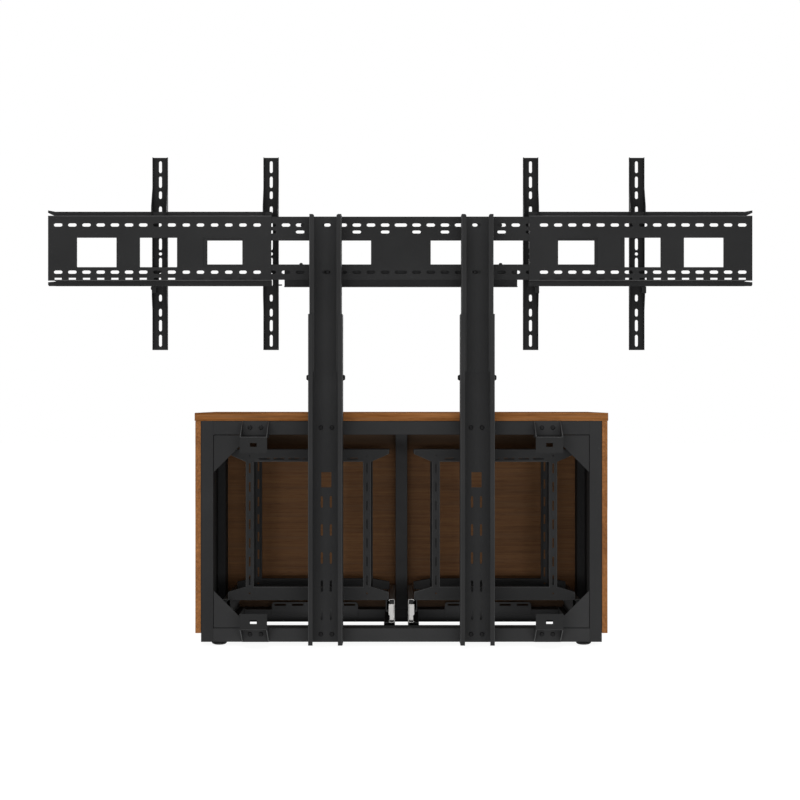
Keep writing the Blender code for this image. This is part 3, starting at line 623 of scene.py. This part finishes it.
def softenTube(name, settings):
    piece = mergedCopy(name, [paintOf.get(name, blackSteel)])
    low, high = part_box(name)
    outer = onBoxEdge(name)
    lengthwise = along(max(range(3), key=lambda axis: high[axis] - low[axis]))
    inner = low.x if name.endswith("left") else high.x

    def flush(edge):  # the rails, the gussets and the rear uprights meet in one plane
        spots = [vert.co for vert in edge.verts]
        rear = all(abs(spot.x - inner) + abs(spot.y - high.y) < slack["level"] for spot in spots)
        return rear and name.startswith("rear_upright")

    def wanted(edge):
        return outer(edge) and lengthwise(edge) and not flush(edge)

    roundEdges(piece, wanted, settings["round"], settings["steps"], clamp=False)
    return finishCopy(piece, name)


def softenBoard(name, settings):
    piece = mergedCopy(name, [woodTop if name == "top_panel" else woodAcross])
    roundEdges(piece, onBoxEdge(name), settings["round"], settings["steps"], clamp=False)
    return finishCopy(piece, name)


def softenFlat(name, settings):
    piece = mergedCopy(name, [paintOf.get(name, finishOf[slotOf[name]])])
    if name.startswith("gusset"):  # the joint with the frame shows as a dark line
        shrink = settings["gussetShrink"]
        selectAll()
        bpy.ops.transform.resize(value=(shrink, 1, shrink))
    roundEdges(piece, sharp, settings["round"], settings["steps"])
    return finishCopy(piece, name)


def slanted(face):
    return min(abs(face.normal.y), abs(face.normal.z)) > slack["slant"]


def softenFold(name, settings, place, prepare=None, look=blackSteel, edgeLook=foldHighlight):
    cuts = settings.get("cuts")
    piece = mergedCopy(name, [look, edgeLook], cuts)
    if prepare:
        prepare(piece, name)
    if name.startswith("standoff"):  # the cheeks' slanted cut edges carry a painted highlight
        pick(piece, "FACE", slanted)
        piece.active_material_index = edgePaint
        bpy.ops.object.material_slot_assign()
    wanted = folds(settings, place)
    roundEdges(piece, wanted, settings["bend"], settings["bendSteps"], edgePaint, False)
    if cuts:
        splitConcave()
    roundEdges(piece, sharp, settings["round"], settings["steps"], edgePaint)
    return finishCopy(piece, name)


def flatSide(name):
    low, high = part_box(name)
    level = high.y if "_rear_" in name else low.y
    return lambda edge: all(abs(vert.co.y - level) < slack["level"] for vert in edge.verts)


postShape = {
    "halfWidth": 0.050,
    "headClear": 0.0002,
    "holeSides": 40,  # most corners of a hole that a clamp screw leaves
    "lip": 0.0140,
    "lipRound": 0.006,
    "lipSteps": 6,
}


def dropClampHeads(piece, name):  # the clamp screws come back as bolts
    middle = middleX(name)
    reach = postShape["halfWidth"] + postShape["headClear"]
    pick(piece, "VERT", lambda vert: abs(vert.co.x - middle) > reach)
    bpy.ops.mesh.delete(type="VERT")
    selectAll()
    bpy.ops.mesh.fill_holes(sides=postShape["holeSides"])
    dissolveFlat()
    splitConcave()


def roundLipTops(piece, name):
    low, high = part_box(name)
    middle = middleX(name)
    reach = (high.x - low.x) / 2 - postShape["lip"]

    def onCorner(spot):
        aside = abs(abs(spot.x - middle) - reach)
        return spot.z > high.z - slack["level"] and aside < slack["level"]

    def corner(edge):
        return all(onCorner(vert.co) for vert in edge.verts)

    roundEdges(piece, corner, postShape["lipRound"], postShape["lipSteps"])


def paintRear(piece, name, look, depth=0.001):  # the rearmost faces take their own coat; the lighter copy on the deeper faces is painted light
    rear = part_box(name)[1].y
    piece.data.materials.append(look)
    for face in piece.data.polygons:
        if face.normal.y > slack["facing"] and face.center.y > rear - depth:
            face.material_index = rearPaint


# pieces that take lighter or darker copies of the black coat, painted light and painted shade
deepNames = ["front_centre_upright", "front_bottom_rail", "lacing_bar_left", "lacing_bar_right"]
lowNames = ["rear_bottom_rail", "gusset_bottom_left", "gusset_bottom_right"]
paintOf = {
    **dict.fromkeys(deepNames, deepLitSteel),
    **dict.fromkeys(lowNames, lowLitSteel),
    "rail_centre_plate": railShadedSteel,
}
boardNames = ["top_panel", "side_panel_left", "side_panel_right", "door_left", "door_right"]


def isTube(name):
    return name.endswith(("_rail", "_upright")) or "_upright_" in name or "runner" in name


for name in filter(isTube, nodes):
    softenTube(name, softTubes)
boards = {name: softenBoard(name, softBoards) for name in boardNames}
for name in nodes:
    if name.startswith(("gusset", "lacing")):
        softenFlat(name, softFlats)
    elif name.startswith("rail_centre"):
        softenFlat(name, softFolds)
for name in nodes:
    if name.startswith(("slide_moving", "door_pivot")):
        softenFlat(name, softSmall)
for name in nodes:
    if name.startswith("rail_end"):
        softenFold(name, softRails, along(0), look=railShadedSteel, edgeLook=edgeHighlight)
    elif name.startswith("lower_cross"):
        softenFold(name, softFolds, along(0), look=railShadedSteel, edgeLook=edgeHighlight)
    elif name.startswith("display_arm"):
        # the arms take the darker copy, painted shade, and the plain coat on their folds and edges
        softenFold(name, softFolds, along(2), look=armShadedSteel, edgeLook=blackSteel)
    elif name.startswith("rack_portal_rear"):
        softenFold(name, softPortals, flatSide(name))
    elif name.startswith("rack_portal"):
        softenFold(name, softPortals, flatSide(name), look=innerLitSteel, edgeLook=innerLitSteel)
    elif name.startswith("standoff"):
        bracket = softenFold(name, softBrackets, along(0), look=lowLitSteel)
        paintRear(bracket, name, bracketShadedSteel)
    elif name.startswith(("outer_post", "inner_post")):
        prepare = dropClampHeads if name.startswith("outer") else roundLipTops
        paintRear(softenFold(name, softPosts, along(2), prepare, postLitSteel), name, blackSteel)


def backFace(piece, look, direction):
    piece.data.materials.append(look)
    for face in piece.data.polygons:
        if face.normal.dot(Vector(direction)) > slack["facing"]:
            face.material_index = backPaint


for side, sign in (("left", 1), ("right", -1)):
    panel = boards["side_panel_" + side]
    panel.data.materials[0] = woodDeep
    backFace(panel, blackSteel, (-sign, 0, 0))
    backFace(boards["door_" + side], woodInsideShaded, (0, 1, 0))
print("steel and boards rounded")


# cutters, blocks and a turn that points +Z some other way

def cutAway(piece, cutter):
    cut = piece.modifiers.new("cut", "BOOLEAN")
    cut.operation = "DIFFERENCE"
    cut.solver = "EXACT"
    cut.object = cutter
    applyAll(piece)
    bpy.data.objects.remove(cutter, do_unlink=True)


def block(title, middle, size):
    clearSelection()
    bpy.ops.mesh.primitive_cube_add(size=1)
    piece = bpy.context.object
    piece.name = title
    piece.data.transform(Matrix.Translation(middle) @ Matrix.Diagonal((*size, 1)))
    return piece


def turnTo(facing):
    return Vector(facing).to_track_quat("Z", "Y").to_matrix().to_4x4()


def extrude(step):
    bpy.ops.mesh.extrude_region_move(TRANSFORM_OT_translate={"value": step})


# button-head bolts with a hexagon socket, modelled once at a radius of 1

boltShape = {
    "sides": 28,
    "rim": 0.30,
    "dome": ((0.93, 0.26), (0.83, 0.22), (0.70, 0.14), (0.58, 0.08)),
    "socket": 0.26,  # radius over the corners
    "socketDepth": 0.62,  # share of the head's height
    "smoothAngle": 40,
}


def makeBolt(shape):
    clearSelection()
    rim = shape["rim"]
    bpy.ops.mesh.primitive_cylinder_add(
        vertices=shape["sides"], radius=1, depth=rim, location=(0, 0, rim / 2)
    )
    bolt = bpy.context.object
    bolt.name = "boltPattern"
    bolt.data.transform(bolt.matrix_world)
    bolt.location = (0, 0, 0)
    bpy.ops.object.mode_set(mode="EDIT")
    pick(bolt, "FACE", lambda face: face.normal.z > slack["facing"])
    reach = 1
    for radius, rise in shape["dome"]:
        extrude((0, 0, rise))
        bpy.ops.transform.resize(value=(radius / reach, radius / reach, 1))
        reach = radius
    clearSelection()
    top = max(vert.co.z for vert in bolt.data.vertices)
    depth = shape["socketDepth"] * top
    bpy.ops.mesh.primitive_cylinder_add(vertices=6, radius=shape["socket"], depth=2 * depth)
    socket = bpy.context.object
    socket.data.transform(Matrix.Translation((0, 0, top)))
    cutAway(bolt, socket)
    openMesh(bolt)
    closeMesh(bolt, shape["smoothAngle"])
    return bolt


boltPattern = makeBolt(boltShape)


def placeBolt(title, at, facing, radius, height, body):
    bolt = bpy.data.objects.new(title, boltPattern.data.copy())
    bpy.context.scene.collection.objects.link(bolt)
    scale = Matrix.Diagonal((radius, radius, height, 1))
    bolt.data.transform(Matrix.Translation(at) @ turnTo(facing) @ scale)
    hand(bolt, blackOxide, "fastener", body)


boltSets = {
    "spread": 0.0325,
    "radius": 0.0068,
    "height": 0.0042,
    "highZ": 0.6470,
    "lowZ": 0.0357,
    "postWall": 0.003,
    "sheet": 0.0025,
}


def boltPairs(sets):
    made = 0
    rows = []
    for side in ("left", "right"):
        post = "outer_post_" + side
        for z in (sets["highZ"], sets["lowZ"]):
            rows.append(("postBolt", middleX(post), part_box(post)[0].y + sets["postWall"], z))
        for level, z in (("top", sets["highZ"]), ("bottom", sets["lowZ"])):
            bracket = f"standoff_bracket_{level}_{side}"
            rows.append(("bracketBolt", middleX(bracket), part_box(bracket)[0].y + sets["sheet"], z))
    for title, x, y, z in rows:
        for way in (-1, 1):
            made += 1
            at = (x + way * sets["spread"] / 2, y, z)
            placeBolt(f"{title}{made}", at, (0, 1, 0), sets["radius"], sets["height"], "cabinet")
    return made


railBolts = {
    "radius": 0.0075,
    "height": 0.0048,
    "slotBoltX": 0.2905,
    "slotZ": 1.2457,
    "postX": 0.2175,
    "postZ": 1.1063,
    "postRadius": 0.0058,
    "postHeight": 0.0030,
    "barX": 0.2955,
    "barRadius": 0.0054,
    "barHeight": 0.0064,
}


def boltRail(sets):
    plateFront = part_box("rail_centre_plate")[0].y
    barLow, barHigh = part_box("lower_cross_bar")
    barMiddle = (barLow.y + barHigh.y) / 2
    for side, sign in (("Left", 1), ("Right", -1)):
        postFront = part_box("inner_post_" + side.lower())[0].y
        at = (sign * sets["slotBoltX"], plateFront, sets["slotZ"])
        placeBolt("railBolt" + side, at, (0, -1, 0), sets["radius"], sets["height"], "mast")
        at = (sign * sets["postX"], postFront + boltSets["postWall"], sets["postZ"])
        placeBolt("postRailBolt" + side, at, (0, 1, 0), sets["postRadius"], sets["postHeight"], "mast")
        at = (sign * sets["barX"] + sideways["lower_cross"], barMiddle, barHigh.z)
        placeBolt("crossBarBolt" + side, at, (0, 0, 1), sets["barRadius"], sets["barHeight"], "mast")


clampScrews = {"radius": 0.0084, "height": 0.0070, "drop": 0.185}


def clampPosts(sets):
    for side in ("left", "right"):
        low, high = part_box("outer_post_" + side)
        middle = (low.x + high.x) / 2
        for way, mark in ((-1, "B"), (1, "A")):
            at = (middle + way * postShape["halfWidth"], (low.y + high.y) / 2, high.z - sets["drop"])
            title = f"clampScrew{side.title()}{mark}"
            placeBolt(title, at, (way, 0, 0), sets["radius"], sets["height"], "cabinet")


# locks of the display arms, each of which shows another end

lockScrews = {
    "behind": 0.021,
    "screwArm": 1,
    "screwRise": 0.1838,
    "radius": 0.0056,
    "height": 0.0036,
    "latch": (0.0138, 0.0160, 0.0205),
    "latchRise": 0.1786,
    "latchOut": {1: 0.0002, 3: 0.0016, 4: 0.0036},
    "latchRound": 0.0012,
    "latchSteps": 3,
    "marksZ": (1.3127, 1.0115),
    "markRadius": 0.0046,
    "markHeight": 0.0020,
    "wall": 0.0025,
    "pinArm": 2,
    "pinRise": 0.1930,
    "pinSides": 20,
    "pinRadius": 0.0021,
    "pinOut": 0.0108,
    "pinTip": 0.0010,
    "pinTaper": 0.6,
}


def makeLatch(title, middle, sets, body):
    latch = block(title, middle, sets["latch"])
    openMesh(latch)
    selectAll()
    bpy.ops.mesh.bevel(offset=sets["latchRound"], segments=sets["latchSteps"], affect="EDGES")
    closeMesh(latch)
    hand(latch, blackOxide, "fastener", body)


def lockArms(sets):
    for number in (1, 2, 3, 4):
        arm = f"arm_{number}"
        low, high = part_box("display_" + arm)
        way = 1 if number < 3 else -1
        side = high.x if way > 0 else low.x
        y = low.y + sets["behind"]
        if number == sets["screwArm"]:
            at = (side, y, low.z + sets["screwRise"])
            placeBolt(f"lockScrew{number}", at, (way, 0, 0), sets["radius"], sets["height"], arm)
        if number in sets["latchOut"]:
            x = side + way * (sets["latchOut"][number] - sets["latch"][0] / 2)
            makeLatch(f"lockLatch{number}", (x, y, low.z + sets["latchRise"]), sets, arm)
        for mark, z in zip("AB", sets["marksZ"]):
            at = ((low.x + high.x) / 2, low.y + sets["wall"], z)
            title = f"armRivet{number}{mark}"
            placeBolt(title, at, (0, 1, 0), sets["markRadius"], sets["markHeight"], arm)


def lockPin(sets):
    arm = f"arm_{sets['pinArm']}"
    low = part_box("display_" + arm)[0]
    clearSelection()
    bpy.ops.mesh.primitive_circle_add(
        vertices=sets["pinSides"], radius=sets["pinRadius"], fill_type="NGON"
    )
    pin = bpy.context.object
    pin.name = "lockPin"
    bpy.ops.object.mode_set(mode="EDIT")
    selectAll()
    extrude((0, 0, sets["pinOut"] - sets["pinTip"]))
    extrude((0, 0, sets["pinTip"]))
    bpy.ops.transform.resize(value=(sets["pinTaper"], sets["pinTaper"], 1))
    clearSelection()
    place = Matrix.Translation((low.x, low.y + sets["behind"], low.z + sets["pinRise"]))
    pin.data.transform(place @ turnTo((-1, 0, 0)))
    openMesh(pin)
    closeMesh(pin)
    hand(pin, blackOxide, "fastener", arm)


print("bolts placed:", boltPairs(boltSets))
boltRail(railBolts)
clampPosts(clampScrews)
lockArms(lockScrews)
lockPin(lockScrews)
bpy.data.objects.remove(boltPattern, do_unlink=True)
print("arms locked")


# levelling feet, drawn up ring by ring

footShape = {
    "sides": 48,
    "rings": (  # radius and height
        (0.0070, 0.0000),
        (0.0128, 0.0005),
        (0.0174, 0.0017),
        (0.0206, 0.0036),
        (0.0224, 0.0060),
        (0.0224, 0.0077),
        (0.0208, 0.0085),
        (0.0085, 0.0089),
        (0.0068, 0.0098),
        (0.0050, 0.0101),
        (0.0050, 0.0360),
    ),
}


def makeFoot(name, shape):
    low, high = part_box(name)
    x, y = (low.x + high.x) / 2, (low.y + high.y) / 2
    clearSelection()
    reach, level = shape["rings"][0]
    bpy.ops.mesh.primitive_circle_add(
        vertices=shape["sides"], radius=reach, fill_type="NGON", location=(x, y, level)
    )
    foot = bpy.context.object
    foot.name = "turned_" + name
    bpy.ops.object.mode_set(mode="EDIT")
    selectAll()
    for radius, height in shape["rings"][1:]:
        extrude((0, 0, height - level))
        scale = radius / reach
        bpy.ops.transform.resize(value=(scale, scale, 1), center_override=(x, y, height))
        reach, level = radius, height
    closeMesh(foot)
    hand(foot, footPlastic, "foot", bodyOf[name], name)


for name in nodes:
    if name.startswith("foot_"):
        makeFoot(name, footShape)
print("feet turned")


# rack slides: rolled channels with a stop in the rear end, pale in the inner ones; the outer slides and
# their stops are dark, painted shade

slideShape = {
    "wall": 0.0014,
    "lip": 0.0055,
    "round": 0.0040,
    "steps": 5,
    "setIn": 0.004,  # rear end from the node's rear
    "stopHeight": 0.048,
    "stopDrop": 0.0035,
    "stopDepth": 0.006,
    "stopIn": 0.002,  # front of the stop from the slide's rear end
    "stopReach": 0.0008,  # past the slide's mouth
    "stopShort": 0.0022,  # short of the slide's web
    "notch": (0.0030, 0.0150),
    "stopRound": 0.0008,
    "stopSteps": 3,
    "dish": (0.0022, 0.0008),
    "dishArea": 0.0003,  # the face to sink is larger than this
}


def foldedSheet(title, points, shape, run):  # a bent line is drawn out along run and given its wall
    clearSelection()
    bpy.ops.mesh.primitive_plane_add(size=0.01, location=(0, 0, 0))
    piece = bpy.context.object
    piece.name = title
    bpy.ops.object.mode_set(mode="EDIT")
    bpy.ops.mesh.select_mode(type="VERT")
    selectAll()
    bpy.ops.mesh.merge(type="CENTER")
    bpy.ops.transform.translate(value=points[0])
    for start, end in zip(points, points[1:]):
        step = Vector(end) - Vector(start)
        bpy.ops.mesh.extrude_vertices_move(TRANSFORM_OT_translate={"value": step})
    corners = [Vector(point) for point in points[1:-1]]

    def atCorner(vert):
        return any((vert.co - corner).length < slack["merge"] for corner in corners)

    pick(piece, "VERT", atCorner)
    bpy.ops.mesh.bevel(offset=shape["round"], segments=shape["steps"], affect="VERTICES")
    selectAll()
    bpy.ops.mesh.extrude_edges_move(TRANSFORM_OT_translate={"value": run})
    selectAll()
    bpy.ops.mesh.remove_doubles(threshold=slack["merge"])
    bpy.ops.mesh.normals_make_consistent(inside=False)
    bpy.ops.object.mode_set(mode="OBJECT")
    solid = piece.modifiers.new("wall", "SOLIDIFY")
    solid.thickness = shape["wall"]
    solid.offset = -1
    solid.use_even_offset = True
    applyAll(piece)
    return piece


def makeStop(name, shape, outer, inner, rear, middle):
    width, depth, height = abs(inner - outer), shape["stopDepth"], shape["stopHeight"]
    y = rear - shape["stopIn"] + depth / 2
    stop = block("stop_" + name, ((outer + inner) / 2, y, middle), (width, depth, height))
    notchWide, notchTall = shape["notch"]
    corner = (outer, rear, middle - height / 2)
    cutAway(stop, block("notch", corner, (notchWide * 2, depth * 3, notchTall * 2)))
    openMesh(stop)
    selectAll()
    bpy.ops.mesh.bevel(offset=shape["stopRound"], segments=shape["stopSteps"], affect="EDGES")
    rim, sink = shape["dish"]

    def rearFace(face):
        return face.normal.y > slack["straight"] and face.calc_area() > shape["dishArea"]

    pick(stop, "FACE", rearFace)
    bpy.ops.mesh.inset(thickness=rim)
    extrude((0, -sink, 0))
    closeMesh(stop)
    # the outer stops take the black bolt finish, painted shade
    hand(stop, paleStop if name.endswith("inner") else blackOxide, "zinc", "cabinet")


def makeSlide(name, shape):
    low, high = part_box(name)
    leftBay = "_left_" in name
    outward = 1 if (leftBay == name.endswith("outer")) else -1
    web = high.x if outward > 0 else low.x
    mouth = low.x if outward > 0 else high.x
    rear = high.y - shape["setIn"]
    points = [
        (mouth, rear, high.z - shape["lip"]),
        (mouth, rear, high.z),
        (web, rear, high.z),
        (web, rear, low.z),
        (mouth, rear, low.z),
        (mouth, rear, low.z + shape["lip"]),
    ]
    slide = foldedSheet("rolled_" + name, points, shape, (0, low.y - rear, 0))
    openMesh(slide)
    closeMesh(slide)
    hand(slide, zinc if name.endswith("inner") else shadedZinc, "zinc", "cabinet", name)
    outer = mouth - outward * shape["stopReach"]
    inner = web - outward * shape["stopShort"]
    makeStop(name, shape, outer, inner, rear, (low.z + high.z) / 2 - shape["stopDrop"])


for name in nodes:
    if name.startswith("slide_fixed"):
        makeSlide(name, slideShape)
print("slides rolled")


# floor, light and camera

studio = {
    "floorSize": 60,
    "floorColour": (0.86, 0.86, 0.86),
    "floorRough": 0.9,
    "floorGlow": 1.30,
    "shadowShare": 0.28,
    "bounce": 0.25,
    "ambient": 0.42,
}


def raySeen(finish):  # 1 for what the camera sees, also in a mirror or through glass
    camera, glossy, through = (
        finish.node("LightPath", output=f"Is {kind} Ray") for kind in ("Camera", "Glossy", "Transmission")
    )
    return finish.clip(camera + glossy + through, 0, 1)


def makeFloor(settings):
    clearSelection()
    bpy.ops.mesh.primitive_plane_add(size=settings["floorSize"])
    floor = bpy.context.object
    floor.name = "studioFloor"
    pale = Finish("paleFloor")
    pale.shade(colour=settings["floorColour"], roughness=settings["floorRough"], specular=0.0)
    lit = Wire(pale.tree, pale.shader.outputs[0])
    white = pale.node("Emission", sockets={"Strength": settings["floorGlow"]})
    bounce = settings["bounce"]
    glow = raySeen(pale) * (1 - settings["shadowShare"] - bounce) + bounce
    blend = pale.node("MixShader", sockets={0: glow, 1: lit, 2: white})
    pale.put(pale.tree.nodes["Material Output"].inputs[0], blend)
    floor.data.materials.append(pale.holder)


def makeWorld(settings):
    world = bpy.data.worlds.new("studioWorld")
    bpy.context.scene.world = world
    air = Finish("studioAir", world)
    background = air.tree.nodes["Background"]
    air.put(background.inputs["Color"], (1, 1, 1))
    level = settings["ambient"] + raySeen(air) * (1 - settings["ambient"])
    air.put(background.inputs["Strength"], level)


softboxes = [
    {"name": "rearSoftbox", "at": (0, 7.5, 0.33), "aim": (0, 0.2, 0.5), "size": (6.0, 0.46), "power": 315},
    {"name": "keySoftbox", "at": (2.6, 6.6, 2.6), "aim": (0, 0.2, 0.7), "size": (2.2, 2.2), "power": 20},
    {"name": "frontSoftbox", "at": (-1.5, -6.5, 3.6), "aim": (0, -0.2, 0.5), "size": (5, 5), "power": 250},
    {"name": "topSoftbox", "at": (0.6, 1.6, 5.2), "aim": (0, 0, 0.7), "size": (3.5, 3.5), "power": 80},
]


def makeLight(box):
    lamp = bpy.data.lights.new(box["name"], "AREA")
    lamp.shape = "RECTANGLE"
    lamp.size, lamp.size_y = box["size"]
    lamp.energy = box["power"]
    made = bpy.data.objects.new(box["name"], lamp)
    made.location = box["at"]
    made.rotation_euler = (Vector(box["aim"]) - Vector(box["at"])).to_track_quat("-Z", "Y").to_euler()
    bpy.context.scene.collection.objects.link(made)


cameraView = {
    "distance": 6.2,  # behind the frame's rear face
    "height": 0.721,
    "lens": 94.3,
    "sensor": 36,
    "shiftX": -0.0018,
    "shiftY": 0.0031,
}


def makeCamera(view):
    lens = bpy.data.cameras.new("rearCamera")
    lens.lens = view["lens"]
    lens.sensor_width = view["sensor"]
    lens.shift_x = view["shiftX"]
    lens.shift_y = view["shiftY"]
    made = bpy.data.objects.new("rearCamera", lens)
    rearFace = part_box("rear_top_rail")[1].y
    made.location = (0, rearFace + view["distance"], view["height"])
    made.rotation_euler = (math.radians(90), 0, math.radians(180))  # level, towards the doors
    bpy.context.scene.collection.objects.link(made)
    bpy.context.scene.camera = made


makeFloor(studio)
makeWorld(studio)
for box in softboxes:
    makeLight(box)
makeCamera(cameraView)
bpy.context.scene.view_settings.view_transform = "Standard"
print("studio ready")
